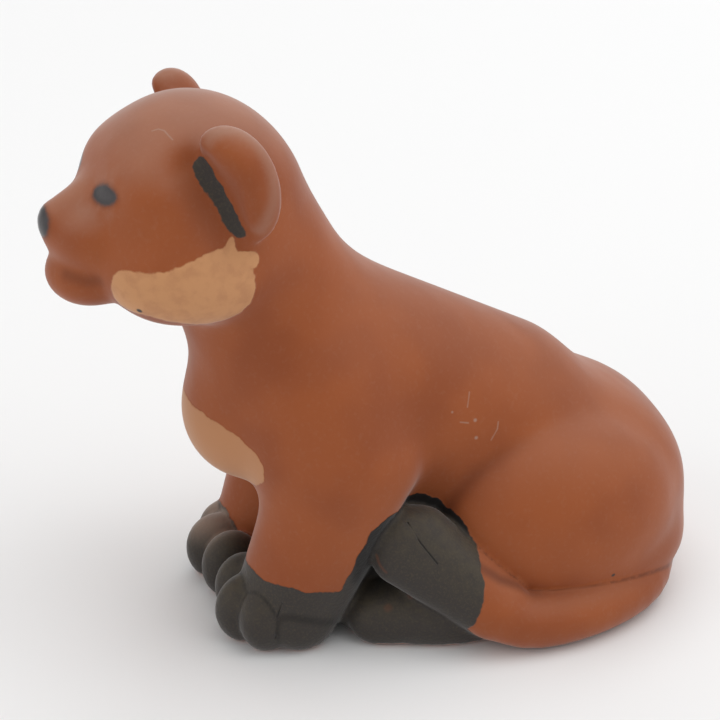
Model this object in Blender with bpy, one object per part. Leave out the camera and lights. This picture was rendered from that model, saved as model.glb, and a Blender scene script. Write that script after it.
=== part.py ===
"""A seated lion cub: a small figurine of fired clay, modelled as one solid.

The cub looks along -Y and its left side is +X. It sits on the plane Z = 0, with the origin
under its midline. Each mass of the body is laid onto the clay and smoothed into it, as a
modeller lays on pellets, and each hollow is pressed in afterwards. Every mass is a distance in
a geometry node tree, the masses are joined by smooth minimums, and a volume gives them one
closed skin. The cub is drawn in its own parts first, and then brought to its size.
"""

import math

import bmesh
import bpy
from mathutils import Matrix, Vector

# The cub's size in metres: across its haunches and tail, nose to rump, and ground to ear
WIDTH = 0.0525
LENGTH = 0.0962
HEIGHT = 0.082

# All that follows is in parts of the drawing, which is 82 parts high: (left, back, up).
# The grain of the skin, the room around the cub, and the triangles that its solid may have
GRAIN = 0.8
ROOM_LOW = Vector((-32, -54, -6))
ROOM_HIGH = Vector((36, 58, 92))
MOST_TRIANGLES = 11000

# How softly one mass runs into the next
WIDE_BLEND = 10
SOFT_BLEND = 6
FIRM_BLEND = 2.5
CRISP_BLEND = 1

# Trunk: a sloping barrel from the chest down to the haunches, which it sits on
CHEST = Vector((0, -7.8, 40.5))
CHEST_RADIUS = 15.5
LOIN = Vector((0, 20, 26.3))
LOIN_RADIUS = 15.3
BREAST = Vector((0, -17, 32))
BREAST_RADII = Vector((11, 9.5, 9.5))
HAUNCH = Vector((5.2, 31.8, 15.2))
HAUNCH_RADII = Vector((15, 17.6, 15.2))
SEAT = Vector((8, 30.6, 8))
SEAT_RADII = Vector((14, 18, 9))
BELLY = Vector((0, 8, 12))
BELLY_RADII = Vector((14, 20, 15))

# Neck, and the head on it, which is turned to the cub's left by this angle in degrees.
# What is on the head is placed from HEAD: left, forward and up
THROAT = Vector((0, -10.4, 43))
THROAT_RADIUS = 13.5
HEAD = Vector((0, -19, 66))
HEAD_TURN = 6
NAPE = Vector((0, 1.2, -1.5))
NAPE_RADIUS = 12
CRANIUM = Vector((0, 5.9, 2.6))
CRANIUM_RADII = Vector((14.2, 14, 13.4))
BROW = Vector((6.2, 13.2, 3.8))
BROW_RADII = Vector((5.6, 5.4, 6))
MUZZLE = Vector((0, 18.4, -2))
MUZZLE_RADII = Vector((8.2, 8, 6))
BRIDGE = Vector((0, 18.1, 2.2))
BRIDGE_RADIUS = 4
NOSE = Vector((0, 24.2, 0.3))
NOSE_RADIUS = 3
LIP = Vector((3.4, 20.3, -1.2))
LIP_RADII = Vector((4.4, 4.6, 3.6))
CHIN = Vector((0, 20.6, -7.8))
CHIN_RADII = Vector((6.8, 6, 4.4))
CHEEK = Vector((8.8, 8, -5.6))
CHEEK_RADII = Vector((7.5, 12, 8))

# Ears: thick petals that face outward and a little forward, each dished and set behind a
# crease in the temple. The right one is set a little lower. Turns are in degrees
EAR = Vector((13.8, 3.8, 7.3))
EAR_RADII = Vector((6.4, 4, 8.8))
EAR_TURN = 60
EAR_LEAN = 12
RIGHT_EAR_DROP = Vector((0, 0, -1))
DISH_RADII = Vector((4.4, 3, 6.4))
DISH_FORWARD = 4.7
DISH_INWARD = 2
DISH_LEAN = 22
TEMPLE_HIGH = Vector((12.8, 8.8, 10.4))
TEMPLE_LOW = Vector((16.4, 4, 0.8))
TEMPLE_HIGH_RADIUS = 2.2
TEMPLE_LOW_RADIUS = 1.4

# Forelegs; the right one stands a little further back, and its paw nearer to the midline
SHOULDER = Vector((11, -8, 33))
SHOULDER_RADII = Vector((8.5, 11, 14))
FOREARM = Vector((12, -8.2, 27))
FOREARM_RADIUS = 7.5
WRIST = Vector((10.8, -13.9, 9))
WRIST_RADIUS = 6.6
ELBOW = Vector((13.5, -2.8, 28.5))
ELBOW_RADIUS = 7
HEEL = Vector((11.5, -11.4, 7))
HEEL_RADIUS = 5.8
RIGHT_SET_BACK = Vector((0, 1.4, 0))
RIGHT_PAW_SHIFT = Vector((2.4, -0.6, -0.6))
FOREPAW = Vector((10.5, -14.6, 3.5))
FOREPAW_RADII = Vector((6.2, 7.3, 5.2))

# Toes of a forepaw from the inner one out: place, half length, and splay in degrees
TOE_RADIUS = 3.6
TOE_DEPTH = 5.6
TOES = (
    (Vector((5, -19.1, 4.9)), 4.7, 8),
    (Vector((10.6, -20.1, 4.9)), 4.9, -4),
    (Vector((13.9, -17.4, 5.1)), 5.1, -28),
    (Vector((15.2, -12.7, 5.1)), 5.4, -12),
)

# Hind legs; each foot is turned in by this angle in degrees
THIGH = Vector((12.2, 26.8, 15.5))
THIGH_RADII = Vector((12.4, 18.3, 15.3))
HIND_FOOT = Vector((16, 8.5, 4))
HIND_FOOT_RADII = Vector((6.8, 13, 6.2))
HIND_TOE_RADII = Vector((2.9, 5, 4))
HIND_TURN = 10
HIND_TOES = (Vector((9.8, -1.6, 3.4)), Vector((13.3, -2.2, 3.4)), Vector((16.9, -0.9, 3.4)))

# Tail: it comes round the left haunch and ends in a flat tuft against the belly
TAIL_RADIUS = 4.2
TAIL_BENDS = (
    Vector((0, 42, 7)),
    Vector((8, 43.4, 4.6)),
    Vector((17, 38.9, 4)),
    Vector((22.5, 29, 4)),
    Vector((23.6, 18.5, 4.4)),
    Vector((21, 10.5, 8.5)),
)
STEPS_PER_BEND = 4
TUFT_START = Vector((22.6, 14.5, 6.6))
TUFT_START_RADIUS = 3.9
TUFT_END = Vector((16.9, 3.2, 15.6))
TUFT_END_RADIUS = 4.4
TUFT_SPREAD = Vector((-0.24, 1.64, 1.28))
TUFT_TIP = Vector((16.2, 1.7, 17))

# Bare fired clay: the photograph's lit terracotta, dull and without a glaze
CLAY_COLOUR = (0.27, 0.078, 0.038, 1)
CLAY_ROUGHNESS = 0.85

LEFT, RIGHT = 1, -1


def clear_scene():
    """Removes the start-up objects."""
    for item in list(bpy.data.objects):
        bpy.data.objects.remove(item)


def mirrored(point, side):
    """The point on the cub's left or right."""
    return Vector((point.x * side, point.y, point.z))


def on_head(point, side=LEFT):
    """The place of a point that is given from the head's middle: left, forward and up."""
    turn = math.radians(HEAD_TURN)
    left = Vector((math.cos(turn), math.sin(turn), 0))
    forward = Vector((math.sin(turn), -math.cos(turn), 0))
    return HEAD + left * point.x * side + forward * point.y + Vector((0, 0, point.z))


def smooth_path(points, steps):
    """Points along a curve through these points, with this many steps from each to the next."""
    ends = [points[0] * 2 - points[1]] + list(points) + [points[-1] * 2 - points[-2]]
    path = []
    for before, start, end, after in zip(ends, ends[1:], ends[2:], ends[3:]):
        for step in range(steps):
            share = step / steps
            rise = (end - before) * share
            bend = (before * 2 - start * 5 + end * 4 - after) * share**2
            twist = (start * 3 - before - end * 3 + after) * share**3
            path.append(start + (rise + bend + twist) / 2)
    return path + [points[-1]]


def add_node(tree, kind, settings=None, **inputs):
    """Adds a node of this kind, with its settings, and with each input linked or set."""
    node = tree.nodes.new(kind)
    for name, value in (settings or {}).items():
        setattr(node, name, value)
    for name, value in inputs.items():
        socket = node.inputs[int(name[1:])] if name[1:].isdigit() else node.inputs[name]
        if isinstance(value, bpy.types.NodeSocket):
            tree.links.new(value, socket)
        else:
            socket.default_value = value
    return node


def vector_math(tree, operation, first, second):
    """The result of one operation on two vectors."""
    settings = {"operation": operation}
    node = add_node(tree, "ShaderNodeVectorMath", settings, _0=first, _1=second)
    return node.outputs["Value" if operation == "DOT_PRODUCT" else "Vector"]


def vector_length(tree, vector):
    """The length of a vector."""
    node = add_node(tree, "ShaderNodeVectorMath", {"operation": "LENGTH"}, _0=vector)
    return node.outputs["Value"]


def number_math(tree, operation, first, second, third=0):
    """The result of one operation on numbers."""
    settings = {"operation": operation}
    return add_node(
        tree, "ShaderNodeMath", settings, _0=first, _1=second, _2=third
    ).outputs[0]


def new_group(name, inputs):
    """An empty node group that takes these inputs and gives one distance."""
    group = bpy.data.node_groups.new(name, "GeometryNodeTree")
    for label, kind in inputs.items():
        group.interface.new_socket(label, in_out="INPUT", socket_type=kind)
    group.interface.new_socket("Distance", in_out="OUTPUT", socket_type="NodeSocketFloat")
    given = group.nodes.new("NodeGroupInput").outputs
    return group, given


def ball_group():
    """The distance to an ellipsoid, from its centre, radii and turn."""
    vector = "NodeSocketVector"
    group, given = new_group("Ball", {"Centre": vector, "Radii": vector, "Turn": vector})
    here = add_node(group, "GeometryNodeInputPosition").outputs[0]
    turned = add_node(
        group,
        "ShaderNodeVectorRotate",
        {"rotation_type": "EULER_XYZ", "invert": True},
        Vector=vector_math(group, "SUBTRACT", here, given["Centre"]),
        Rotation=given["Turn"],
    ).outputs[0]
    once = vector_math(group, "DIVIDE", turned, given["Radii"])
    twice = vector_math(group, "DIVIDE", once, given["Radii"])
    reach = vector_length(group, once)
    steepness = number_math(group, "MAXIMUM", vector_length(group, twice), 1e-6)
    beyond = number_math(group, "SUBTRACT", reach, 1)
    scaled = number_math(group, "MULTIPLY", reach, beyond)
    distance = number_math(group, "DIVIDE", scaled, steepness)
    add_node(group, "NodeGroupOutput", Distance=distance)
    return group


def limb_group():
    """The distance to a tapered limb with round ends, from its two ends and their radii."""
    vector, number = "NodeSocketVector", "NodeSocketFloat"
    group, given = new_group(
        "Limb", {"Start": vector, "End": vector, "Start Radius": number, "End Radius": number}
    )
    here = add_node(group, "GeometryNodeInputPosition").outputs[0]
    offset = vector_math(group, "SUBTRACT", here, given["Start"])
    axis = vector_math(group, "SUBTRACT", given["End"], given["Start"])
    along = vector_math(group, "DOT_PRODUCT", offset, axis)
    square = vector_math(group, "DOT_PRODUCT", axis, axis)
    share = number_math(group, "DIVIDE", along, square)
    share = add_node(group, "ShaderNodeClamp", Value=share).outputs[0]
    foot = add_node(
        group, "ShaderNodeVectorMath", {"operation": "SCALE"}, _0=axis, Scale=share
    ).outputs[0]
    away = vector_length(group, vector_math(group, "SUBTRACT", offset, foot))
    growth = number_math(group, "SUBTRACT", given["End Radius"], given["Start Radius"])
    radius = number_math(group, "MULTIPLY_ADD", growth, share, given["Start Radius"])
    distance = number_math(group, "SUBTRACT", away, radius)
    add_node(group, "NodeGroupOutput", Distance=distance)
    return group


class Clay:
    """Clay that masses are laid on and hollows are pressed into, kept as one distance."""

    def __init__(self, name):
        self.tree = bpy.data.node_groups.new(name, "GeometryNodeTree")
        self.tree.interface.new_socket(
            "Geometry", in_out="OUTPUT", socket_type="NodeSocketGeometry"
        )
        self.groups = {"Ball": ball_group(), "Limb": limb_group()}
        self.distance = number_math(self.tree, "ADD", ROOM_HIGH.length, 0)

    def shape(self, kind, inputs):
        """The distance to one ball or limb."""
        node = self.tree.nodes.new("GeometryNodeGroup")
        node.node_tree = self.groups[kind]
        for name, value in inputs.items():
            node.inputs[name].default_value = value
        return node.outputs[0]

    def ball(self, centre, radii, turn=(0, 0, 0)):
        """The distance to an ellipsoid turned by these angles, in degrees."""
        angles = [math.radians(angle) for angle in turn]
        return self.shape("Ball", {"Centre": centre, "Radii": radii, "Turn": angles})

    def limb(self, start, end, start_radius, end_radius):
        """The distance to a tapered limb."""
        radii = {"Start Radius": start_radius, "End Radius": end_radius}
        return self.shape("Limb", {"Start": start, "End": end, **radii})

    def together(self, first, second, blend):
        """The distance to two masses run into each other."""
        return number_math(self.tree, "SMOOTH_MIN", first, second, blend)

    def lay(self, mass, blend):
        """Adds a mass, smoothed into the clay over the blend's width."""
        self.distance = self.together(self.distance, mass, blend)

    def press(self, hollow, blend):
        """Takes a hollow out, with a lip as round as the blend."""
        outside = number_math(self.tree, "MULTIPLY", hollow, -1)
        self.distance = number_math(self.tree, "SMOOTH_MAX", self.distance, outside, blend)

    def skin(self, name, grain):
        """The mesh object of the clay's surface, in steps of the grain."""
        density = number_math(self.tree, "SUBTRACT", 1, self.distance)
        cube = add_node(
            self.tree, "GeometryNodeVolumeCube", Density=density, Min=ROOM_LOW, Max=ROOM_HIGH
        )
        for axis, span in zip("XYZ", ROOM_HIGH - ROOM_LOW):
            cube.inputs["Resolution " + axis].default_value = round(span / grain)
        skin = add_node(
            self.tree, "GeometryNodeVolumeToMesh", Volume=cube.outputs[0], Threshold=1
        )
        add_node(self.tree, "NodeGroupOutput", Geometry=skin.outputs[0])
        solid = bpy.data.objects.new(name, bpy.data.meshes.new(name))
        bpy.context.scene.collection.objects.link(solid)
        solid.modifiers.new("Clay", "NODES").node_group = self.tree
        keep_shape(solid)
        return solid


def keep_shape(solid):
    """Makes what the object's modifiers give its own mesh, and removes them."""
    graph = bpy.context.evaluated_depsgraph_get()
    mesh = bpy.data.meshes.new_from_object(solid.evaluated_get(graph))
    solid.modifiers.clear()
    solid.data = mesh


def lay_trunk(clay):
    """The chest, the sloping back, the haunches and the belly."""
    clay.lay(clay.limb(CHEST, LOIN, CHEST_RADIUS, LOIN_RADIUS), 0)
    for side in (LEFT, RIGHT):
        clay.lay(clay.ball(mirrored(HAUNCH, side), HAUNCH_RADII), WIDE_BLEND)
        clay.lay(clay.ball(mirrored(SEAT, side), SEAT_RADII), SOFT_BLEND)
    clay.lay(clay.ball(BELLY, BELLY_RADII), WIDE_BLEND)
    clay.lay(clay.ball(BREAST, BREAST_RADII), WIDE_BLEND)


def lay_head(clay):
    """The neck, skull, brows, muzzle and cheeks."""
    level = (0, 0, HEAD_TURN)
    clay.lay(clay.limb(THROAT, on_head(NAPE), THROAT_RADIUS, NAPE_RADIUS), SOFT_BLEND)
    clay.lay(clay.ball(on_head(CRANIUM), CRANIUM_RADII, level), SOFT_BLEND)
    for side in (LEFT, RIGHT):
        clay.lay(clay.ball(on_head(BROW, side), BROW_RADII, level), SOFT_BLEND)
    clay.lay(clay.ball(on_head(MUZZLE), MUZZLE_RADII, level), SOFT_BLEND)
    nose = clay.limb(on_head(BRIDGE), on_head(NOSE), BRIDGE_RADIUS, NOSE_RADIUS)
    clay.lay(nose, FIRM_BLEND)
    clay.lay(clay.ball(on_head(CHIN), CHIN_RADII, level), FIRM_BLEND)
    for side in (LEFT, RIGHT):
        clay.lay(clay.ball(on_head(CHEEK, side), CHEEK_RADII, level), SOFT_BLEND)
        clay.lay(clay.ball(on_head(LIP, side), LIP_RADII, level), FIRM_BLEND)


def lay_ears(clay):
    """Each ear, the dish in its face, and the crease that parts it from the temple."""
    for side in (LEFT, RIGHT):
        turn = HEAD_TURN + EAR_TURN * side
        middle = on_head(EAR, side) + (RIGHT_EAR_DROP if side == RIGHT else Vector())
        clay.lay(clay.ball(middle, EAR_RADII, (0, -EAR_LEAN * side, turn)), FIRM_BLEND)
        angle = math.radians(turn)
        forward = Vector((math.sin(angle), -math.cos(angle), 0))
        inward = Vector((-math.cos(angle), -math.sin(angle), 0)) * side
        dish = middle + forward * DISH_FORWARD + inward * DISH_INWARD
        clay.press(clay.ball(dish, DISH_RADII, (0, -DISH_LEAN * side, turn)), FIRM_BLEND)
        high, low = on_head(TEMPLE_HIGH, side), on_head(TEMPLE_LOW, side)
        crease = clay.limb(high, low, TEMPLE_HIGH_RADIUS, TEMPLE_LOW_RADIUS)
        clay.press(crease, SOFT_BLEND)


def lay_forelegs(clay):
    """Shoulders, forelegs, paws and toes."""
    for side in (LEFT, RIGHT):
        clay.lay(clay.ball(mirrored(SHOULDER, side), SHOULDER_RADII), SOFT_BLEND)
        set_back = RIGHT_SET_BACK if side == RIGHT else Vector()
        paw_shift = RIGHT_PAW_SHIFT if side == RIGHT else Vector()
        top, wrist = mirrored(FOREARM, side) + set_back, mirrored(WRIST, side) + set_back
        elbow, heel = mirrored(ELBOW, side) + set_back, mirrored(HEEL, side) + set_back
        front = clay.limb(top, wrist, FOREARM_RADIUS, WRIST_RADIUS)
        back = clay.limb(elbow, heel, ELBOW_RADIUS, HEEL_RADIUS)
        clay.lay(clay.together(front, back, WIDE_BLEND), SOFT_BLEND)
        paw = mirrored(FOREPAW, side) + paw_shift
        clay.lay(clay.ball(paw, FOREPAW_RADII), FIRM_BLEND)
        for place, half_length, splay in TOES:
            radii = Vector((TOE_RADIUS, half_length, TOE_DEPTH))
            place = mirrored(place, side) + paw_shift
            toe = clay.ball(place, radii, (0, 0, -splay * side))
            clay.lay(toe, CRISP_BLEND)


def lay_hind_legs(clay):
    """Thighs, feet and toes."""
    for side in (LEFT, RIGHT):
        clay.lay(clay.ball(mirrored(THIGH, side), THIGH_RADII), FIRM_BLEND)
        turn = (0, 0, -HIND_TURN * side)
        clay.lay(clay.ball(mirrored(HIND_FOOT, side), HIND_FOOT_RADII, turn), CRISP_BLEND)
        for place in HIND_TOES:
            clay.lay(clay.ball(mirrored(place, side), HIND_TOE_RADII, turn), FIRM_BLEND)


def lay_tail(clay):
    """The tail, round the left haunch, and its tuft of three flat locks."""
    path = smooth_path(TAIL_BENDS, STEPS_PER_BEND)
    tail = clay.limb(path[0], path[1], TAIL_RADIUS, TAIL_RADIUS)
    for start, end in zip(path[1:], path[2:]):
        tail = clay.together(tail, clay.limb(start, end, TAIL_RADIUS, TAIL_RADIUS), 0)
    clay.lay(tail, CRISP_BLEND)
    tuft = clay.limb(TUFT_START, TUFT_TIP, TUFT_START_RADIUS, TUFT_END_RADIUS)
    for spread in (TUFT_SPREAD, -TUFT_SPREAD):
        start, end = TUFT_START + spread / 2, TUFT_END + spread
        lock = clay.limb(start, end, TUFT_START_RADIUS, TUFT_END_RADIUS)
        tuft = clay.together(tuft, lock, FIRM_BLEND)
    clay.lay(tuft, CRISP_BLEND)


def model_cub(grain):
    """The whole cub's clay, as a mesh object."""
    clay = Clay("Cub")
    lay_trunk(clay)
    lay_head(clay)
    lay_ears(clay)
    lay_forelegs(clay)
    lay_hind_legs(clay)
    lay_tail(clay)
    return clay.skin("lion_figurine", grain)


def thin_out(solid):
    """Merges the smallest faces until the solid has the triangles it may have."""
    modifier = solid.modifiers.new("Thin", "DECIMATE")
    modifier.ratio = min(1, MOST_TRIANGLES / (2 * len(solid.data.polygons)))
    keep_shape(solid)


def cut_base(solid):
    """Cuts the clay flat at Z = 0 and closes the cut."""
    work = bmesh.new()
    work.from_mesh(solid.data)
    everything = work.verts[:] + work.edges[:] + work.faces[:]
    cut = bmesh.ops.bisect_plane(
        work, geom=everything, plane_co=(0, 0, 0), plane_no=(0, 0, -1), clear_outer=True
    )
    edges = [item for item in cut["geom_cut"] if isinstance(item, bmesh.types.BMEdge)]
    bmesh.ops.contextual_create(work, geom=edges)
    bmesh.ops.triangulate(work, faces=work.faces)
    work.to_mesh(solid.data)
    work.free()


def bring_to_size(solid):
    """Stretches the drawing along each axis until the cub has its width, length and height."""
    points = [vertex.co for vertex in solid.data.vertices]
    stretch = []
    for axis, size in enumerate((WIDTH, LENGTH, HEIGHT)):
        places = [point[axis] for point in points]
        stretch.append(size / (max(places) - min(places)))
    solid.data.transform(Matrix.Diagonal(stretch).to_4x4())


def paint(solid):
    """Gives the solid its one material, bare clay."""
    clay = bpy.data.materials.new("terracotta")
    clay.use_nodes = True
    shader = clay.node_tree.nodes["Principled BSDF"]
    shader.inputs["Base Color"].default_value = CLAY_COLOUR
    shader.inputs["Roughness"].default_value = CLAY_ROUGHNESS
    shader.inputs["Metallic"].default_value = 0
    solid.data.materials.clear()
    solid.data.materials.append(clay)
    solid.data.shade_smooth()


def main():
    """Models, thins, cuts, sizes and paints the cub."""
    clear_scene()
    solid = model_cub(GRAIN)
    thin_out(solid)
    cut_base(solid)
    bring_to_size(solid)
    paint(solid)


if __name__ == "__main__":
    main()
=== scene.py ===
"""A seated lion cub of fired clay, painted with slips, in soft studio light.

The cub looks along -Y, its left side is +X, and it sits on Z = 0. Its form is laid up mass by
mass, as distances in a geometry node tree, which a volume turns into one closed skin. The skin
is then stretched to the box of the CAD model. How far each point is from the areas that the
slips cover is kept on the skin, and the material paints the slips from that.
"""

import math

import bpy
from bpy.props import FloatProperty, FloatVectorProperty, PointerProperty
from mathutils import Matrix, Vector


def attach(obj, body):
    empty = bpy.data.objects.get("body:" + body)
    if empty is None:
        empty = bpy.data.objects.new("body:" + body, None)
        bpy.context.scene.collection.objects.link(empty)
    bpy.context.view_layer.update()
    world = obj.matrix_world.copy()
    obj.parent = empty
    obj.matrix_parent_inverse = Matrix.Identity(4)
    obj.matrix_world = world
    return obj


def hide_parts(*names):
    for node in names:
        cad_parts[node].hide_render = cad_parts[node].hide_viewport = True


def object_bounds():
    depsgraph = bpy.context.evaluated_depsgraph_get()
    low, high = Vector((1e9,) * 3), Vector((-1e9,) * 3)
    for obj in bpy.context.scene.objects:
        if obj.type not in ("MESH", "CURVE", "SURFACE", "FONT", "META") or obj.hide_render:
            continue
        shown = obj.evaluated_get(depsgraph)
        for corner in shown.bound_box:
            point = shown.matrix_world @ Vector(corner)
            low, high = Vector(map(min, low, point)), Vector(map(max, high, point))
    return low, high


bl_info = {
    "name": "Painted Clay Lion Cub",
    "version": (1, 0, 0),
    "blender": (4, 5, 0),
    "location": "3D View > Sidebar > Lion Cub",
    "description": "Models a small fired-clay lion cub, paints it with slips and sets its studio",
    "category": "Object",
}

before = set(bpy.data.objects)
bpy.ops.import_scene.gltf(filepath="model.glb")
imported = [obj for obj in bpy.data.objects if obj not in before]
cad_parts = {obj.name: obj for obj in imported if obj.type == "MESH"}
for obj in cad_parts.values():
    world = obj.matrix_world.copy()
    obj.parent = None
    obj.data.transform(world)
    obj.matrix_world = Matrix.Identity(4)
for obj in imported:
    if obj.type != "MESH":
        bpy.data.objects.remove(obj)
CAD_LOW, CAD_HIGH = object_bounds()

MM = 0.001
LEFT, RIGHT = 1, -1
# Keeps a distance from being divided by zero
TINY = 1e-6

# All of the cub's form is in parts of its drawing, which is 82 parts high: (left, back, up).
# One part is about a millimetre
ROOM_LOW = Vector((-32, -54, -6))
ROOM_HIGH = Vector((36, 58, 92))

# How softly one mass runs into the next
WIDE_BLEND = 10
SOFT_BLEND = 6
FIRM_BLEND = 2.5
CRISP_BLEND = 1
FINE_BLEND = 0.5

# How far the grime and painted shade in a crease reach from it
CREASE_REACH = 0.8
# Points of the skin this close are one, which leaves no sliver between them
SAME_POINT = 0.005

# Trunk: a sloping barrel from the chest down to the haunches, which it sits on
CHEST = Vector((0, -7.8, 40.5))
CHEST_RADIUS = 15.5
LOIN = Vector((0, 20, 26.3))
LOIN_RADIUS = 15.3
BREAST = Vector((0, -17, 32))
BREAST_RADII = Vector((11, 9.5, 9.5))
HAUNCH = Vector((5.2, 31.8, 15.2))
HAUNCH_RADII = Vector((15, 17.6, 15.2))
SEAT = Vector((8, 30.6, 8))
SEAT_RADII = Vector((14, 18, 9))
BELLY = Vector((0, 8, 12))
BELLY_RADII = Vector((14, 20, 15))

# Neck, and the head on it, which is turned to the cub's left by this angle in degrees.
# What is on the head is placed from HEAD: left, forward and up
THROAT = Vector((0, -10.4, 43))
THROAT_RADIUS = 13.5
HEAD = Vector((0, -19, 66))
HEAD_TURN = 6
NAPE = Vector((0, 1.2, -1.5))
NAPE_RADIUS = 12
CRANIUM = Vector((0, 5.9, 2.6))
CRANIUM_RADII = Vector((14.2, 14, 13.4))
BROW = Vector((6.2, 13.2, 3.8))
BROW_RADII = Vector((5.6, 5.4, 6))
MUZZLE = Vector((0, 18.4, -2))
MUZZLE_RADII = Vector((8.2, 8, 6))
BRIDGE = Vector((0, 18.1, 2.2))
BRIDGE_RADIUS = 4
NOSE = Vector((0, 24.2, 0.3))
NOSE_RADIUS = 3
LIP = Vector((3.4, 20.3, -1.2))
LIP_RADII = Vector((4.4, 4.6, 3.6))
CHIN = Vector((0, 20.6, -7.8))
CHIN_RADII = Vector((6.8, 6, 4.4))
CHEEK = Vector((8.8, 8, -5.6))
CHEEK_RADII = Vector((7.5, 12, 8))

# Ears: thick petals that face outward and a little forward, each dished and set behind a
# crease in the temple. The right one is set a little lower. Turns are in degrees
EAR = Vector((13.8, 3.8, 7.3))
EAR_RADII = Vector((6.4, 4, 8.8))
EAR_TURN = 60
EAR_LEAN = 12
RIGHT_EAR_DROP = Vector((0, 0, -1))
DISH_RADII = Vector((4.4, 3, 6.4))
DISH_FORWARD = 4.7
DISH_INWARD = 2
DISH_LEAN = 22
TEMPLE_HIGH = Vector((12.8, 8.8, 10.4))
TEMPLE_LOW = Vector((16.4, 4, 0.8))
TEMPLE_HIGH_RADIUS = 2.2
TEMPLE_LOW_RADIUS = 1.4

# Forelegs; the right one stands a little further back, and its paw nearer to the midline
SHOULDER = Vector((11, -8, 33))
SHOULDER_RADII = Vector((8.5, 11, 14))
FOREARM = Vector((12, -8.2, 27))
FOREARM_RADIUS = 7.5
WRIST = Vector((10.8, -13.9, 9))
WRIST_RADIUS = 6.6
ELBOW = Vector((13.5, -2.8, 28.5))
ELBOW_RADIUS = 7
HEEL = Vector((11.5, -11.4, 7))
HEEL_RADIUS = 5.8
RIGHT_SET_BACK = Vector((0, 1.4, 0))
RIGHT_PAW_SHIFT = Vector((2.4, -0.6, -0.6))
FOREPAW = Vector((10.5, -14.6, 3.5))
FOREPAW_RADII = Vector((6.2, 7.3, 5.2))

# Toes of a forepaw from the inner one out: place, half length, and splay in degrees
TOE_RADIUS = 3.6
TOE_DEPTH = 5.6
TOES = (
    (Vector((5, -19.1, 4.9)), 4.7, 8),
    (Vector((10.6, -20.1, 4.9)), 4.9, -4),
    (Vector((13.9, -17.4, 5.1)), 5.1, -28),
    (Vector((15.2, -12.7, 5.1)), 5.4, -12),
)

# Hind legs; each foot is turned in by this angle in degrees
THIGH = Vector((12.2, 26.8, 15.5))
THIGH_RADII = Vector((12.4, 18.3, 15.3))
HIND_FOOT = Vector((16, 8.5, 4))
HIND_FOOT_RADII = Vector((6.8, 13, 6.2))
HIND_TOE_RADII = Vector((2.9, 5, 4))
HIND_TURN = 10
HIND_TOES = (Vector((9.8, -1.6, 3.4)), Vector((13.3, -2.2, 3.4)), Vector((16.9, -0.9, 3.4)))

# Tail: it comes round the left haunch and ends in a flat tuft against the belly
TAIL_RADIUS = 4.2
TAIL_BENDS = (
    Vector((0, 42, 7)),
    Vector((8, 43.4, 4.6)),
    Vector((17, 38.9, 4)),
    Vector((22.5, 29, 4)),
    Vector((23.6, 18.5, 4.4)),
    Vector((21, 10.5, 8.5)),
)
STEPS_PER_BEND = 4
TUFT_START = Vector((22.6, 14.5, 6.6))
TUFT_START_RADIUS = 3.9
TUFT_END = Vector((16.9, 3.2, 15.6))
TUFT_END_RADIUS = 4.4
TUFT_SPREAD = Vector((-0.24, 1.64, 1.28))
TUFT_TIP = Vector((16.2, 1.7, 17))

# Where the dark slip lies: on the feet and the tuft, and as a stroke at the front of each ear.
# The right forepaw is painted less high on its leg, with two areas more for its toes. The left
# elbow is dark where the tuft comes near it
DARK_FOREPAW = Vector((11, -15, 2))
DARK_FOREPAW_RADII = Vector((16, 19, 11.3))
DARK_RIGHT_DROP = Vector((0, 0, -4.8))
DARK_RIGHT_TOES = Vector((-7.5, -22, 4.3))
DARK_RIGHT_TOES_RADII = Vector((11, 4.8, 7.4))
DARK_RIGHT_INNER = Vector((-2, -19.5, 7))
DARK_RIGHT_INNER_RADII = Vector((3.4, 3.4, 3.4))
DARK_HIND_FOOT = Vector((15.5, 5, 4))
DARK_HIND_FOOT_RADII = Vector((9, 15, 9))
DARK_TUFT = Vector((19, 4, 12))
DARK_TUFT_RADII = Vector((14, 8.6, 11))
DARK_ELBOW_HIGH = Vector((17, -1.5, 19))
DARK_ELBOW_HIGH_RADIUS = 4.1
DARK_ELBOW_LOW = Vector((16.5, -4.5, 9))
DARK_ELBOW_LOW_RADIUS = 4.3
DARK_EAR_HIGH = Vector((11.1, 7, 9.8))
DARK_EAR_HIGH_RADIUS = 1.35
DARK_EAR_LOW = Vector((14.6, 3.5, 1.4))
DARK_EAR_LOW_RADIUS = 1.05

# Where the grey-black face slip lies: on the eyes, turned by these angles in degrees and the
# right one further round, and on the nose
EYE = Vector((6.2, 19.4, 5.7))
EYE_RADII = Vector((2.7, 1.7, 1.3))
RIGHT_EYE_SHIFT = Vector((1.5, -0.9, 0))
EYE_TURN = 24
EYE_TILT = 7
NOSE_TIP = Vector((0, 27, 0.6))
NOSE_TIP_RADII = Vector((2.5, 1.5, 2.2))

# Where the tan slip lies: on the cheeks, each with a spur and a corner up to the ear,
# and on the breast
TAN_CHEEK_FRONT = Vector((11.2, 16.8, -6.1))
TAN_CHEEK_FRONT_RADIUS = 3.6
TAN_CHEEK_BACK = Vector((14, 7.3, -6.6))
TAN_CHEEK_BACK_RADIUS = 6
TAN_SPUR = Vector((14.5, 4.2, 0.6))
TAN_SPUR_RADIUS = 0.3
TAN_EDGE = Vector((14.8, 4.8, -2.4))
TAN_CORNER = Vector((14.6, 1.8, -3))
TAN_CORNER_RADIUS = 1.2
TAN_BIB = Vector((0, -25, 29.6))
TAN_BIB_RADII = Vector((17, 13.5, 6.5))

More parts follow.
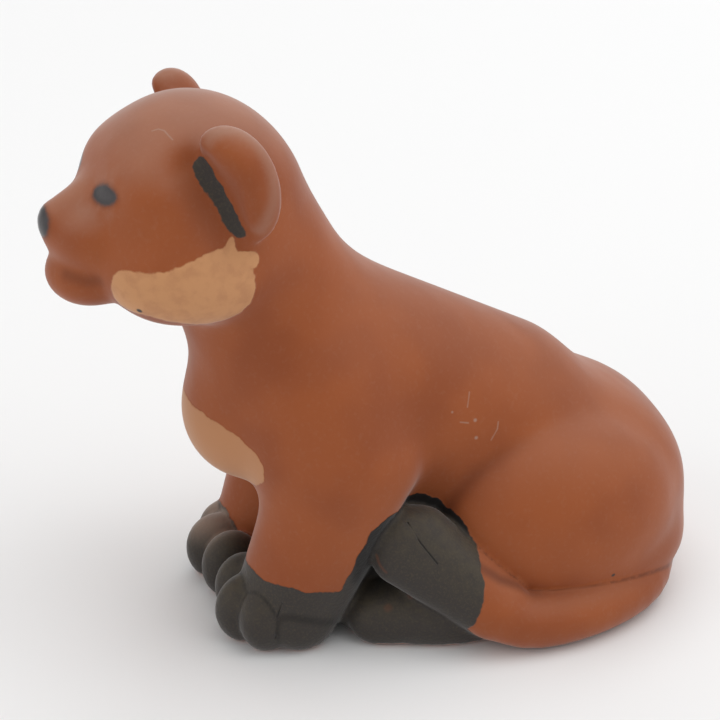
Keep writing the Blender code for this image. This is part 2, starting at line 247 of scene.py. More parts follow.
# Lines cut into the clay, as points on it, and how wide and how deep they are: between two
# toes of the left paw, and on the tuft
CUT_HALF_WIDTH = 0.11
CUT_DEPTH = 0.25
TOE_CUT = (Vector((17.8, -16.4, 9.6)), Vector((17.6, -17.4, 6.6)), Vector((17.8, -17.6, 2.4)))
TUFT_CUT = (Vector((18.8, 2, 20.7)), Vector((21, 3.3, 18.4)), Vector((22.5, 5.4, 15.5)))

# A painted highlight along the rim of each ear, on the head; painted shade in the soft fold above
# the left thigh and darkening in the fold under it, where the tail begins to curl up; and how far
# each fades out
EAR_RIM = (
    Vector((13.8, 6.8, 14.7)),
    Vector((14, 5, 15.8)),
    Vector((14.3, 2.9, 15.6)),
    Vector((15.5, 1.1, 14.3)),
    Vector((16.7, 0, 12.2)),
    Vector((17.6, -0.7, 9.6)),
    Vector((18.1, -0.6, 7)),
    Vector((18.2, 0.3, 4.3)),
    Vector((17.4, 1.2, 2.2)),
)
RIM_REACH = 1.9
THIGH_FOLD = (
    Vector((15, 9.6, 19.8)),
    Vector((15.2, 10.7, 22)),
    Vector((15.6, 13.1, 25.2)),
    Vector((15.8, 16.8, 28.1)),
    Vector((15.8, 20.5, 29.6)),
    Vector((16, 25.8, 30.1)),
)
THIGH_REACH = 2.2
TAIL_FOLD = (
    Vector((23, 11.8, 14.2)),
    Vector((23.8, 14.6, 12.1)),
    Vector((23.6, 17.8, 10.1)),
    Vector((23.5, 21.8, 8.2)),
)
TAIL_REACH = 1.5

# The mouth line, painted as soft brown shade, on the head, and how far it fades out
MOUTH = (Vector((4.2, 24.7, -6)), Vector((6.3, 22.6, -6.4)), Vector((7.6, 21, -6)))
MOUTH_REACH = 1.6

# Pale scratches on the left flank and a scuff on the forehead, and how wide they are
SCRATCH_HALF_WIDTH = 0.1
SCRATCHES = (
    (Vector((13.7, 12.5, 37.9)), Vector((14.5, 12, 36))),
    (Vector((14.7, 16.7, 33)), Vector((14.9, 16.5, 32)), Vector((15.2, 15.5, 30.5))),
    (Vector((15.1, 10.8, 34)), Vector((15.1, 12, 33.7))),
    (Vector((6.6, -30.5, 79.5)), Vector((6.8, -29.7, 79.8)), Vector((7.4, -29, 79.7))),
    (Vector((7.4, -29, 79.7)), Vector((8.3, -28.6, 79.3)), Vector((8.9, -28.2, 78.9))),
)

# Small spots, each as its place and radius: pale ones, dark ones, and rubbed ones in the dark
# slip, which is also rubbed along the tuft's edge
PALE_SPOTS = (
    (Vector((14.9, 13.1, 33.9)), 0.3),
    (Vector((15.3, 13.2, 31.2)), 0.3),
    (Vector((14.9, 9.6, 35.7)), 0.2),
)
DARK_SPOTS = ((Vector((23, 32.5, 9.4)), 0.35), (Vector((14.3, -34.6, 57)), 0.45))
RUBS = ((Vector((19.4, 2.4, 8.6)), 0.5), (Vector((18.8, -0.8, 6.6)), 0.7))
RUBBED_EDGE = (Vector((18.7, -2.6, 15.8)), Vector((19.3, -2.3, 14.7)), Vector((20.1, -1.6, 13.8)))

# Sizes of the patterns in the clay and its paint, in parts of the drawing, judged from the
# photograph. Fine grit is commonly below 0.1 mm, which is less than one pixel of a render, so
# the three grits are drawn as coarse as they need to show, the dark slip's more so than there
KILN_BLOTCH = 14
HAND_DENT = 7
MUZZLE_RUB = 3
BRUSH_EDGE = 2.2
FOOT_WEAR = 2
BRUSH_MARK = 1.8
DUST_PATCH = 1.6
CLAY_GRIT = 0.7
BRISTLE_EDGE = 0.6
SURFACE_GRIT = 0.5
SLIP_GRIT = 0.3

# Gloss of the fired clay and of the smoother face slip. Glaze has an IOR of about 1.5, and
# porous clay shines less than that
CLAY_IOR = 1.34
CLAY_ROUGHNESS = 0.62
FACE_ROUGHNESS = 0.32
SHEEN_WEIGHT = 0.3
SHEEN_ROUGHNESS = 0.38

# Each soft light: how far behind the cub, to the camera's right and above the floor it is, and
# its width and height, in metres
LIGHTS = {
    "overhead": ((0.15, 0.2, 1), (1.2, 1.2)),
    "backdrop": ((1.1, 0, 0.45), (1.8, 0.9)),
    "left": ((-0.5, -1, 0.5), (1.2, 1.2)),
    "right": ((-0.3, 1, 0.6), (1.2, 1.2)),
}

# Half the floor's side in metres, and the width of the camera's sensor in millimetres
FLOOR_HALF = 1.5
SENSOR_WIDTH = 36


def linear(code):
    """A colour written as #rrggbb, turned from sRGB to linear."""
    shares = [int(code[place : place + 2], 16) / 255 for place in (1, 3, 5)]
    return tuple(
        share / 12.92 if share <= 0.04045 else ((share + 0.055) / 1.055) ** 2.4
        for share in shares
    )


def colour(name, description, code):
    """A colour that the user may change."""
    return FloatVectorProperty(
        name=name, description=description, default=linear(code), subtype="COLOR",
        size=3, min=0, max=1,
    )


class CubLook(bpy.types.PropertyGroup):
    """Grain of the skin, and the colours of the clay and its slips."""

    grain: FloatProperty(
        name="Grain", description="Step between the points of the cub's skin",
        default=0.5 * MM, min=0.4 * MM, max=2 * MM, unit="LENGTH",
    )
    slip_thickness: FloatProperty(
        name="Slip Thickness", description="How far a slip stands above the clay",
        default=0.1 * MM, min=0, max=1 * MM, unit="LENGTH",
    )
    clay: colour("Clay", "Terracotta where it is clean", "#985028")
    clay_dark: colour("Dark Clay", "Terracotta where it is fired darker", "#8a4623")
    # The stain colour is also painted shade: it darkens the creases, the fold above the left
    # thigh and the mouth line
    stain_and_shade: colour("Stain", "Grime and wash that lie in the creases", "#4f2415")
    # The haze colour is also painted sheen and highlight: it pales the clay where it faces up,
    # the ear rims and the right paw's top
    haze_and_sheen: colour("Haze", "Pale grey of dust, rubs and scratches", "#a98f80")
    tan: colour("Tan Slip", "Slip on the cheeks and the breast", "#c38d61")
    tan_worn: colour("Worn Tan Slip", "Tan slip where it is thin or dirty", "#ab7551")
    dark: colour("Dark Slip", "Slip on the feet, the tuft and the ears", "#383330")
    # Also painted sheen: this colour pales the dark slip where it faces up, besides its grit
    dark_dust_and_sheen: colour("Dusty Dark Slip", "Dark slip where dust lies on it", "#524938")
    # This colour is painted shade, laid in the dark slip's creases and in the hollow round the
    # tuft
    dark_painted_shade: colour("Deep Dark Slip", "Dark slip in the creases", "#171413")
    face: colour("Face Slip", "Grey-black slip of the eyes and the nose", "#3d3a3b")
    # This colour is a painted highlight: the pale gloss in the middle of the eyes and the nose
    face_highlight: colour("Pale Face Slip", "Face slip where it is thick and pale", "#565253")


class CubStage(bpy.types.PropertyGroup):
    """The floor, the lights and the camera."""

    floor: colour("Floor", "Colour of the floor", "#ececec")
    sky_strength: FloatProperty(
        name="Sky Strength", description="Strength of the even white light", default=0.45, min=0
    )
    overhead_power: FloatProperty(
        name="Overhead Power", description="Power of the wide light above the cub", default=6.5,
        min=0, unit="POWER",
    )
    backdrop_power: FloatProperty(
        name="Backdrop Power", description="Power of the lit backdrop behind the cub",
        default=4, min=0, unit="POWER",
    )
    left_power: FloatProperty(
        name="Left Power", description="Power of the soft light at the camera's left",
        default=4.2, min=0, unit="POWER",
    )
    right_power: FloatProperty(
        name="Right Power", description="Power of the soft light at the camera's right",
        default=4.2, min=0, unit="POWER",
    )
    azimuth: FloatProperty(
        name="Azimuth", description="Camera's direction round the cub, from its front",
        default=math.radians(75), subtype="ANGLE",
    )
    elevation: FloatProperty(
        name="Elevation", description="Camera's height above the level",
        default=math.radians(27), subtype="ANGLE",
    )
    distance: FloatProperty(
        name="Distance", description="From the camera to the cub", default=0.33, unit="LENGTH"
    )
    aim_height: FloatProperty(
        name="Aim Height", description="Height of the point that the camera looks at",
        default=38 * MM, unit="LENGTH",
    )
    lens: FloatProperty(
        name="Lens", description="Focal length, in millimetres, on a sensor 36 mm wide",
        default=112, min=10, subtype="DISTANCE_CAMERA",
    )


def mirrored(point, side):
    """The point on the cub's left or right."""
    return Vector((point.x * side, point.y, point.z))


def on_head(point, side=LEFT):
    """The place of a point that is given from the head's middle: left, forward and up."""
    turn = math.radians(HEAD_TURN)
    left = Vector((math.cos(turn), math.sin(turn), 0))
    forward = Vector((math.sin(turn), -math.cos(turn), 0))
    return HEAD + left * point.x * side + forward * point.y + Vector((0, 0, point.z))


def smooth_path(points, steps):
    """Points along a curve through these points, with this many steps from each to the next."""
    ends = [points[0] * 2 - points[1]] + list(points) + [points[-1] * 2 - points[-2]]
    path = []
    for before, start, end, after in zip(ends, ends[1:], ends[2:], ends[3:]):
        for step in range(steps):
            share = step / steps
            rise = (end - before) * share
            bend = (before * 2 - start * 5 + end * 4 - after) * share**2
            twist = (start * 3 - before - end * 3 + after) * share**3
            path.append(start + (rise + bend + twist) / 2)
    return path + [points[-1]]


def add(tree, kind, settings=None, **inputs):
    """Adds a node of this kind, with its settings, and with each input linked or set.

    An input is named, or given by its place as _0, _1 and so on."""
    node = tree.nodes.new(kind)
    for name, value in (settings or {}).items():
        setattr(node, name, value)
    for name, value in inputs.items():
        socket = node.inputs[int(name[1:]) if name[1:].isdigit() else name.replace("_", " ")]
        if isinstance(value, bpy.types.NodeSocket):
            tree.links.new(value, socket)
        else:
            socket.default_value = value
    return node


def vector_math(tree, operation, *terms, **named):
    """The result of one operation on vectors."""
    places = {f"_{place}": term for place, term in enumerate(terms)}
    node = add(tree, "ShaderNodeVectorMath", {"operation": operation}, **places, **named)
    scalar = operation in ("LENGTH", "DOT_PRODUCT")
    return node.outputs["Value" if scalar else "Vector"]


def number_math(tree, operation, *terms):
    """The result of one operation on numbers."""
    places = {f"_{place}": term for place, term in enumerate(terms)}
    return add(tree, "ShaderNodeMath", {"operation": operation}, **places).outputs[0]


def new_group(name, kind, inputs):
    """An empty node group that takes these inputs and gives one distance."""
    group = bpy.data.node_groups.new(name, kind)
    for label, socket in inputs.items():
        group.interface.new_socket(label, in_out="INPUT", socket_type=socket)
    group.interface.new_socket("Distance", in_out="OUTPUT", socket_type="NodeSocketFloat")
    return group, group.nodes.new("NodeGroupInput").outputs


def ball_group():
    """The distance to an ellipsoid, from its centre, radii and turn."""
    vector = "NodeSocketVector"
    group, given = new_group(
        "Ball", "GeometryNodeTree", {"Centre": vector, "Radii": vector, "Turn": vector}
    )
    here = add(group, "GeometryNodeInputPosition").outputs[0]
    turned = add(
        group,
        "ShaderNodeVectorRotate",
        {"rotation_type": "EULER_XYZ", "invert": True},
        Vector=vector_math(group, "SUBTRACT", here, given["Centre"]),
        Rotation=given["Turn"],
    ).outputs[0]
    once = vector_math(group, "DIVIDE", turned, given["Radii"])
    twice = vector_math(group, "DIVIDE", once, given["Radii"])
    reach = vector_math(group, "LENGTH", once)
    steepness = number_math(group, "MAXIMUM", vector_math(group, "LENGTH", twice), TINY)
    scaled = number_math(group, "MULTIPLY", reach, number_math(group, "SUBTRACT", reach, 1))
    add(group, "NodeGroupOutput", Distance=number_math(group, "DIVIDE", scaled, steepness))
    return group


def limb_nodes(group, here, given):
    """The distance from here to a tapered limb with round ends."""
    offset = vector_math(group, "SUBTRACT", here, given["Start"])
    axis = vector_math(group, "SUBTRACT", given["End"], given["Start"])
    along = vector_math(group, "DOT_PRODUCT", offset, axis)
    square = vector_math(group, "DOT_PRODUCT", axis, axis)
    share = number_math(group, "DIVIDE", along, number_math(group, "MAXIMUM", square, TINY))
    share = add(group, "ShaderNodeClamp", Value=share).outputs[0]
    foot = vector_math(group, "SCALE", axis, Scale=share)
    away = vector_math(group, "LENGTH", vector_math(group, "SUBTRACT", offset, foot))
    growth = number_math(group, "SUBTRACT", given["End Radius"], given["Start Radius"])
    radius = number_math(group, "MULTIPLY_ADD", growth, share, given["Start Radius"])
    return number_math(group, "SUBTRACT", away, radius)


def limb_group():
    """The distance to a tapered limb with round ends, from its two ends and their radii."""
    vector, number = "NodeSocketVector", "NodeSocketFloat"
    group, given = new_group(
        "Limb",
        "GeometryNodeTree",
        {"Start": vector, "End": vector, "Start Radius": number, "End Radius": number},
    )
    here = add(group, "GeometryNodeInputPosition").outputs[0]
    add(group, "NodeGroupOutput", Distance=limb_nodes(group, here, given))
    return group


class Clay:
    """Masses and hollows in one geometry node tree, each as its distance from a point."""

    def __init__(self, name):
        self.tree = bpy.data.node_groups.new(name, "GeometryNodeTree")
        sockets = self.tree.interface
        sockets.new_socket("Geometry", in_out="OUTPUT", socket_type="NodeSocketGeometry")
        for label, kind in (
            ("Grain", "NodeSocketFloat"),
            ("Low Corner", "NodeSocketVector"),
            ("High Corner", "NodeSocketVector"),
            ("Clay", "NodeSocketMaterial"),
        ):
            sockets.new_socket(label, in_out="INPUT", socket_type=kind)
        self.given = self.tree.nodes.new("NodeGroupInput").outputs
        self.groups = {"Ball": ball_group(), "Limb": limb_group()}
        self.distance = number_math(self.tree, "ADD", ROOM_HIGH.length, 0)
        self.crease = number_math(self.tree, "ADD", 0, 0)

    def shape(self, kind, inputs):
        """The distance to one ball or limb."""
        node = add(self.tree, "GeometryNodeGroup", {"node_tree": self.groups[kind]}, **inputs)
        return node.outputs[0]

    def ball(self, centre, radii, turn=(0, 0, 0)):
        """The distance to an ellipsoid turned by these angles, in degrees."""
        angles = [math.radians(angle) for angle in turn]
        return self.shape("Ball", {"Centre": centre, "Radii": radii, "Turn": angles})

    def limb(self, start, end, start_radius, end_radius):
        """The distance to a tapered limb."""
        radii = {"Start Radius": start_radius, "End Radius": end_radius}
        return self.shape("Limb", {"Start": start, "End": end, **radii})

    def together(self, first, second, blend=0):
        """The distance to two masses run into each other."""
        return number_math(self.tree, "SMOOTH_MIN", first, second, blend)

    def nearest(self, shapes):
        """The distance to the nearest of several shapes."""
        distance = shapes[0]
        for shape in shapes[1:]:
            distance = self.together(distance, shape)
        return distance

    def lay(self, mass, blend, against=None):
        """Adds a mass, smoothed into the clay over the blend's width.

        A crisp join is a crease, which is 1 where both sides meet and 0 a short way from it.
        Only the join against the given part of the clay counts, if one is given."""
        if 0 < blend <= CRISP_BLEND:
            away = number_math(self.tree, "MAXIMUM", against or self.distance, mass)
            near = number_math(self.tree, "MULTIPLY_ADD", away, -1 / CREASE_REACH, 1)
            self.crease = number_math(self.tree, "MAXIMUM", self.crease, near)
        self.distance = self.together(self.distance, mass, blend)

    def press(self, hollow, blend):
        """Takes a hollow out, with a lip as round as the blend."""
        outside = number_math(self.tree, "MULTIPLY", hollow, -1)
        self.distance = number_math(self.tree, "SMOOTH_MAX", self.distance, outside, blend)

    def cut_base(self):
        """Takes off all that is below Z = 0."""
        here = add(self.tree, "GeometryNodeInputPosition").outputs[0]
        height = add(self.tree, "ShaderNodeSeparateXYZ", Vector=here).outputs["Z"]
        below = number_math(self.tree, "MULTIPLY", height, -1)
        self.distance = number_math(self.tree, "SMOOTH_MAX", self.distance, below, FINE_BLEND)

    def skin(self):
        """The clay's surface as a mesh."""
        density = number_math(self.tree, "SUBTRACT", 1, self.distance)
        cube = add(
            self.tree, "GeometryNodeVolumeCube", Density=density, Min=ROOM_LOW, Max=ROOM_HIGH
        )
        for axis, span in zip("XYZ", ROOM_HIGH - ROOM_LOW):
            count = number_math(self.tree, "DIVIDE", span * MM, self.given["Grain"])
            self.tree.links.new(count, cube.inputs["Resolution " + axis])
        mesh = add(self.tree, "GeometryNodeVolumeToMesh", Volume=cube.outputs[0], Threshold=1)
        return add(
            self.tree,
            "GeometryNodeMergeByDistance",
            Geometry=mesh.outputs[0],
            Distance=SAME_POINT,
        ).outputs[0]

    def keep(self, mesh, name, value, kind="FLOAT"):
        """Keeps a value on each point of the mesh under this name."""
        node = add(
            self.tree,
            "GeometryNodeStoreNamedAttribute",
            {"data_type": kind},
            Geometry=mesh,
            Name=name,
        )
        self.tree.links.new(value, node.inputs["Value"])
        return node.outputs[0]

    def fit(self, mesh):
        """Stretches the mesh to fill the box between the two given corners."""
        tree = self.tree
        box = add(tree, "GeometryNodeBoundBox", Geometry=mesh)
        room = vector_math(tree, "SUBTRACT", self.given["High Corner"], self.given["Low Corner"])
        span = vector_math(tree, "SUBTRACT", box.outputs["Max"], box.outputs["Min"])
        stretch = vector_math(tree, "DIVIDE", room, span)
        here = add(tree, "GeometryNodeInputPosition").outputs[0]
        offset = vector_math(tree, "SUBTRACT", here, box.outputs["Min"])
        place = vector_math(tree, "MULTIPLY_ADD", offset, stretch, self.given["Low Corner"])
        return add(tree, "GeometryNodeSetPosition", Geometry=mesh, Position=place).outputs[0]

    def finish(self, mesh):
        """Ends the tree with smooth, real geometry in its material."""
        tree = self.tree
        smooth = add(tree, "GeometryNodeSetShadeSmooth", Geometry=mesh).outputs[0]
        real = add(tree, "GeometryNodeRealizeInstances", Geometry=smooth).outputs[0]
        painted = add(
            tree, "GeometryNodeSetMaterial", Geometry=real, Material=self.given["Clay"]
        ).outputs[0]
        add(tree, "NodeGroupOutput", Geometry=painted)


def lay_trunk(clay):
    """The chest, the sloping back, the haunches and the belly."""
    clay.lay(clay.limb(CHEST, LOIN, CHEST_RADIUS, LOIN_RADIUS), 0)
    for side in (LEFT, RIGHT):
        clay.lay(clay.ball(mirrored(HAUNCH, side), HAUNCH_RADII), WIDE_BLEND)
        clay.lay(clay.ball(mirrored(SEAT, side), SEAT_RADII), SOFT_BLEND)
    clay.lay(clay.ball(BELLY, BELLY_RADII), WIDE_BLEND)
    clay.lay(clay.ball(BREAST, BREAST_RADII), WIDE_BLEND)


def lay_head(clay):
    """The neck, skull, brows, muzzle and cheeks."""
    level = (0, 0, HEAD_TURN)
    clay.lay(clay.limb(THROAT, on_head(NAPE), THROAT_RADIUS, NAPE_RADIUS), SOFT_BLEND)
    clay.lay(clay.ball(on_head(CRANIUM), CRANIUM_RADII, level), SOFT_BLEND)
    for side in (LEFT, RIGHT):
        clay.lay(clay.ball(on_head(BROW, side), BROW_RADII, level), SOFT_BLEND)
    clay.lay(clay.ball(on_head(MUZZLE), MUZZLE_RADII, level), SOFT_BLEND)
    nose = clay.limb(on_head(BRIDGE), on_head(NOSE), BRIDGE_RADIUS, NOSE_RADIUS)
    clay.lay(nose, FIRM_BLEND)
    clay.lay(clay.ball(on_head(CHIN), CHIN_RADII, level), FIRM_BLEND)
    for side in (LEFT, RIGHT):
        clay.lay(clay.ball(on_head(CHEEK, side), CHEEK_RADII, level), SOFT_BLEND)
        clay.lay(clay.ball(on_head(LIP, side), LIP_RADII, level), FIRM_BLEND)


def lay_ears(clay):
    """Each ear, the dish in its face, and the crease that parts it from the temple."""
    for side in (LEFT, RIGHT):
        turn = HEAD_TURN + EAR_TURN * side
        middle = on_head(EAR, side) + (RIGHT_EAR_DROP if side == RIGHT else Vector())
        clay.lay(clay.ball(middle, EAR_RADII, (0, -EAR_LEAN * side, turn)), FIRM_BLEND)
        angle = math.radians(turn)
        forward = Vector((math.sin(angle), -math.cos(angle), 0))
        inward = Vector((-math.cos(angle), -math.sin(angle), 0)) * side
        dish = middle + forward * DISH_FORWARD + inward * DISH_INWARD
        clay.press(clay.ball(dish, DISH_RADII, (0, -DISH_LEAN * side, turn)), FIRM_BLEND)
        high, low = on_head(TEMPLE_HIGH, side), on_head(TEMPLE_LOW, side)
        crease = clay.limb(high, low, TEMPLE_HIGH_RADIUS, TEMPLE_LOW_RADIUS)
        clay.press(crease, SOFT_BLEND)


def lay_forelegs(clay):
    """Shoulders, forelegs, paws and toes."""
    for side in (LEFT, RIGHT):
        clay.lay(clay.ball(mirrored(SHOULDER, side), SHOULDER_RADII), SOFT_BLEND)
        set_back = RIGHT_SET_BACK if side == RIGHT else Vector()
        paw_shift = RIGHT_PAW_SHIFT if side == RIGHT else Vector()
        top, wrist = mirrored(FOREARM, side) + set_back, mirrored(WRIST, side) + set_back
        elbow, heel = mirrored(ELBOW, side) + set_back, mirrored(HEEL, side) + set_back
        front = clay.limb(top, wrist, FOREARM_RADIUS, WRIST_RADIUS)
        back = clay.limb(elbow, heel, ELBOW_RADIUS, HEEL_RADIUS)
        clay.lay(clay.together(front, back, WIDE_BLEND), SOFT_BLEND)
        paw = mirrored(FOREPAW, side) + paw_shift
        clay.lay(clay.ball(paw, FOREPAW_RADII), FIRM_BLEND)
        for place, half_length, splay in TOES:
            radii = Vector((TOE_RADIUS, half_length, TOE_DEPTH))
            place = mirrored(place, side) + paw_shift
            toe = clay.ball(place, radii, (0, 0, -splay * side))
            clay.lay(toe, CRISP_BLEND)


def lay_hind_legs(clay):
    """Thighs, feet and toes."""
    for side in (LEFT, RIGHT):
        clay.lay(clay.ball(mirrored(THIGH, side), THIGH_RADII), FIRM_BLEND)
        turn = (0, 0, -HIND_TURN * side)
        clay.lay(clay.ball(mirrored(HIND_FOOT, side), HIND_FOOT_RADII, turn), CRISP_BLEND)
        for place in HIND_TOES:
            clay.lay(clay.ball(mirrored(place, side), HIND_TOE_RADII, turn), FIRM_BLEND)


def lay_tail(clay):
    """The tail, round the left haunch, and its tuft of three flat locks, which it returns.

    The fold where the tuft leaves the tail is no crease, so it is not darkened."""
    body = clay.distance
    path = smooth_path(TAIL_BENDS, STEPS_PER_BEND)
    lengths = [clay.limb(*ends, TAIL_RADIUS, TAIL_RADIUS) for ends in zip(path, path[1:])]
    clay.lay(clay.nearest(lengths), CRISP_BLEND)
    tuft = clay.limb(TUFT_START, TUFT_TIP, TUFT_START_RADIUS, TUFT_END_RADIUS)
    for spread in (TUFT_SPREAD, -TUFT_SPREAD):
        start, end = TUFT_START + spread / 2, TUFT_END + spread
        lock = clay.limb(start, end, TUFT_START_RADIUS, TUFT_END_RADIUS)
        tuft = clay.together(tuft, lock, FIRM_BLEND)
    clay.lay(tuft, CRISP_BLEND, body)
    return tuft


def dark_slip(clay):
    """The distance to what the dark slip covers."""
    elbow = clay.limb(
        DARK_ELBOW_HIGH, DARK_ELBOW_LOW, DARK_ELBOW_HIGH_RADIUS, DARK_ELBOW_LOW_RADIUS
    )
    areas = [clay.ball(DARK_TUFT, DARK_TUFT_RADII), elbow]
    areas.append(clay.ball(DARK_RIGHT_TOES, DARK_RIGHT_TOES_RADII))
    areas.append(clay.ball(DARK_RIGHT_INNER, DARK_RIGHT_INNER_RADII))
    for side in (LEFT, RIGHT):
        paw = mirrored(DARK_FOREPAW, side)
        if side == RIGHT:
            paw += DARK_RIGHT_DROP
        areas.append(clay.ball(paw, DARK_FOREPAW_RADII))
        areas.append(clay.ball(mirrored(DARK_HIND_FOOT, side), DARK_HIND_FOOT_RADII))
        high, low = on_head(DARK_EAR_HIGH, side), on_head(DARK_EAR_LOW, side)
        areas.append(clay.limb(high, low, DARK_EAR_HIGH_RADIUS, DARK_EAR_LOW_RADIUS))
    return clay.nearest(areas)


def face_slip(clay):
    """The distance to what the face slip covers."""
    level = (0, 0, HEAD_TURN)
    areas = [clay.ball(on_head(NOSE_TIP), NOSE_TIP_RADII, level)]
    for side in (LEFT, RIGHT):
        turn = (0, -EYE_TILT * side, HEAD_TURN + EYE_TURN * side)
        middle = EYE + (RIGHT_EYE_SHIFT if side == RIGHT else Vector())
        areas.append(clay.ball(on_head(middle, side), EYE_RADII, turn))
    return clay.nearest(areas)


def tan_slip(clay):
    """The distance to what the tan slip covers."""
    areas = [clay.ball(TAN_BIB, TAN_BIB_RADII)]
    for side in (LEFT, RIGHT):
        front, back = on_head(TAN_CHEEK_FRONT, side), on_head(TAN_CHEEK_BACK, side)
        areas.append(clay.limb(front, back, TAN_CHEEK_FRONT_RADIUS, TAN_CHEEK_BACK_RADIUS))
        edge, corner = on_head(TAN_EDGE, side), on_head(TAN_CORNER, side)
        areas.append(clay.limb(edge, on_head(TAN_SPUR, side), TAN_CORNER_RADIUS, TAN_SPUR_RADIUS))
        areas.append(clay.limb(edge, corner, TAN_CORNER_RADIUS, TAN_CORNER_RADIUS))
    return clay.nearest(areas)


def cub_tree():
    """The geometry node tree of the whole cub."""
    clay = Clay("Lion cub")
    lay_trunk(clay)
    lay_head(clay)
    lay_ears(clay)
    lay_forelegs(clay)
    lay_hind_legs(clay)
    tuft = lay_tail(clay)
    clay.cut_base()
    mesh = clay.skin()
    here = add(clay.tree, "GeometryNodeInputPosition").outputs[0]
    mesh = clay.keep(mesh, "drawn", here, "FLOAT_VECTOR")
    normal = add(clay.tree, "GeometryNodeInputNormal").outputs[0]
    upward = add(clay.tree, "ShaderNodeSeparateXYZ", Vector=normal).outputs["Z"]
    mesh = clay.keep(mesh, "upward", upward)
    mesh = clay.keep(mesh, "crease", clay.crease)
    mesh = clay.keep(mesh, "tuft", tuft)
    mesh = clay.keep(mesh, "dark_slip", dark_slip(clay))
    mesh = clay.keep(mesh, "face_slip", face_slip(clay))
    mesh = clay.keep(mesh, "tan_slip", tan_slip(clay))
    clay.finish(clay.fit(mesh))
    return clay.tree


def stroke_group():
    """The distance to a straight stroke, from a point's place in the cub's drawing."""
    vector, number = "NodeSocketVector", "NodeSocketFloat"
    group, given = new_group(
        "Stroke",
        "ShaderNodeTree",
        {"Start": vector, "End": vector, "Start Radius": number, "End Radius": number},
    )
    here = add(group, "ShaderNodeAttribute", {"attribute_name": "drawn"}).outputs["Vector"]
    add(group, "NodeGroupOutput", Distance=limb_nodes(group, here, given))
    return group


class Paint:
    """A material's node tree. It reads each point's place in the cub's drawing, in parts."""

    def __init__(self, name):
        self.material = bpy.data.materials.new(name)
        self.material.use_nodes = True
        self.tree = self.material.node_tree
        self.shader = self.tree.nodes["Principled BSDF"]
        self.place = self.kept("drawn", "Vector")
        self.strokes = stroke_group()

    def kept(self, name, output="Fac"):
        """What the skin keeps under this name."""
        return add(self.tree, "ShaderNodeAttribute", {"attribute_name": name}).outputs[output]

    def math(self, operation, *terms):
        """The result of one operation on numbers."""
        return number_math(self.tree, operation, *terms)

    def along(self, axis):
        """How far along one axis of the drawing a point is."""
        return add(self.tree, "ShaderNodeSeparateXYZ", Vector=self.place).outputs[axis]

    def noise(self, size, detail=2):
        """Soft noise from 0 to 1 with blotches of about this size."""
        return add(
            self.tree, "ShaderNodeTexNoise", Vector=self.place, Scale=1 / size, Detail=detail
        ).outputs["Fac"]

    def ramp(self, value, low, high, bottom=0, top=1):
        """The value taken from low..high to bottom..top, with soft ends."""
        return add(
            self.tree,
            "ShaderNodeMapRange",
            {"interpolation_type": "SMOOTHSTEP"},
            Value=value,
            From_Min=low,
            From_Max=high,
            To_Min=bottom,
            To_Max=top,
        ).outputs[0]

    def mixed(self, share, first, second):
        """The second colour laid over the first by this share."""
        first, second = (
            layer if isinstance(layer, bpy.types.NodeSocket) else (*layer, 1)
            for layer in (first, second)
        )
        colours = {"_0": share, "_6": first, "_7": second}
        return add(self.tree, "ShaderNodeMix", {"data_type": "RGBA"}, **colours).outputs[2]

    def stroke(self, points, radius=0):
        """The distance to a bent stroke through these points."""
        pieces = [
            add(
                self.tree,
                "ShaderNodeGroup",
                {"node_tree": self.strokes},
                Start=start,
                End=end,
                Start_Radius=radius,
                End_Radius=radius,
            )
            for start, end in zip(points, points[1:])
        ]
        return self.nearest([piece.outputs[0] for piece in pieces])

    def nearest(self, distances):
        """The least of several distances."""
        least = distances[0]
        for distance in distances[1:]:
            least = self.math("MINIMUM", least, distance)
        return least

    def spots(self, places):
        """The distance to the nearest of several round spots."""
        return self.nearest([self.stroke((place, place), radius) for place, radius in places])

    def ragged(self, distance, coarse, fine):
        """The distance with its edge made ragged, as a brush leaves it."""
        distance = self.math("MULTIPLY_ADD", self.noise(BRUSH_EDGE), coarse, distance)
        distance = self.math("MULTIPLY_ADD", self.noise(BRISTLE_EDGE), fine, distance)
        return self.math("SUBTRACT", distance, (coarse + fine) / 2)


